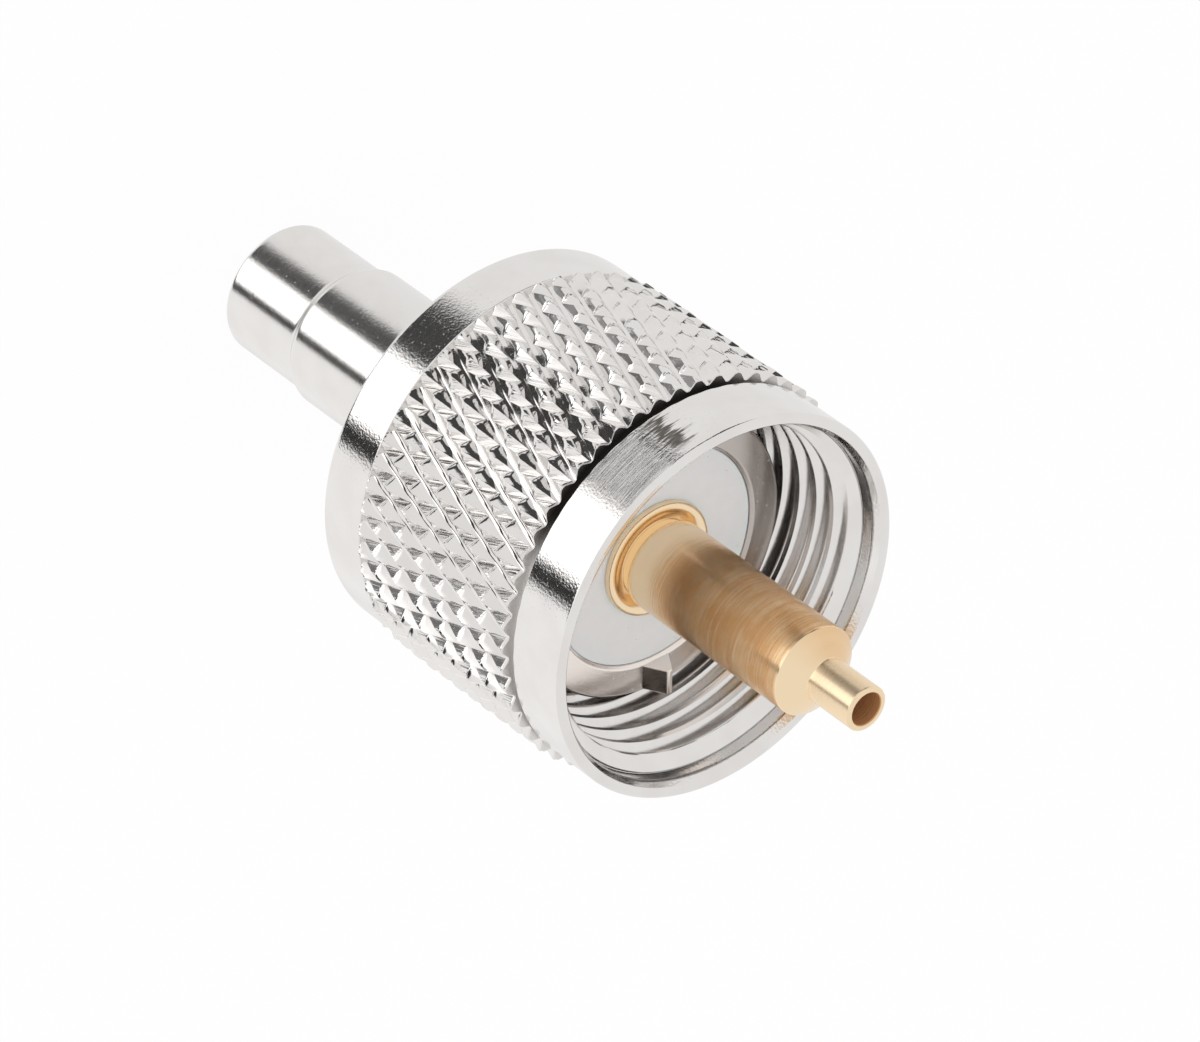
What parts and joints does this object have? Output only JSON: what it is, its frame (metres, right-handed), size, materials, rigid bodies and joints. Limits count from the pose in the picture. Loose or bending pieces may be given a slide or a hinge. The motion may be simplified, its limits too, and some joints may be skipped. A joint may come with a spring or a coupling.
{
  "type": "uhf connector",
  "caption": "Cable plug with a knurled coupling nut, toothed flange, white insulator, hollow centre pin and stepped crimp ferrule.",
  "frame": {"origin": "centre of the ferrule's open end, on which the plug stands", "axes": "+Z along the plug's axis from the cable end to the tip of the centre pin; +X through one of the two locating teeth"},
  "size_m": [0.018, 0.018, 0.0378],
  "materials": {
    "nickel_plated_brass": "polished nickel plating",
    "gold_plated_brass": "thin gold plating over turning marks",
    "ptfe": "smooth matt white",
    "spring_bronze": "plain"
  },
  "bodies": {
    "plug": {"plug_body": "nickel_plated_brass", "insulator": "ptfe", "centre_pin": "gold_plated_brass"},
    "ring": {"retaining_ring": "spring_bronze"},
    "nut": {"coupling_nut": "nickel_plated_brass"},
    "ferrule": {"crimp_ferrule": "nickel_plated_brass"}
  },
  "joints": [
    {"name": "nut_slide", "type": "slide", "parent": "plug", "child": "ring", "axis": [0, 0, 1], "range_m": [0, 0.00576]},
    {"name": "nut_spin", "type": "hinge", "parent": "ring", "child": "nut", "pos_m": [0, 0, 0.01575], "axis": [0, 0, 1], "continuous": true},
    {"name": "ferrule_slide", "type": "slide", "parent": "plug", "child": "ferrule", "axis": [0, 0, -1], "range_m": [0, 0.0085]}
  ]
}
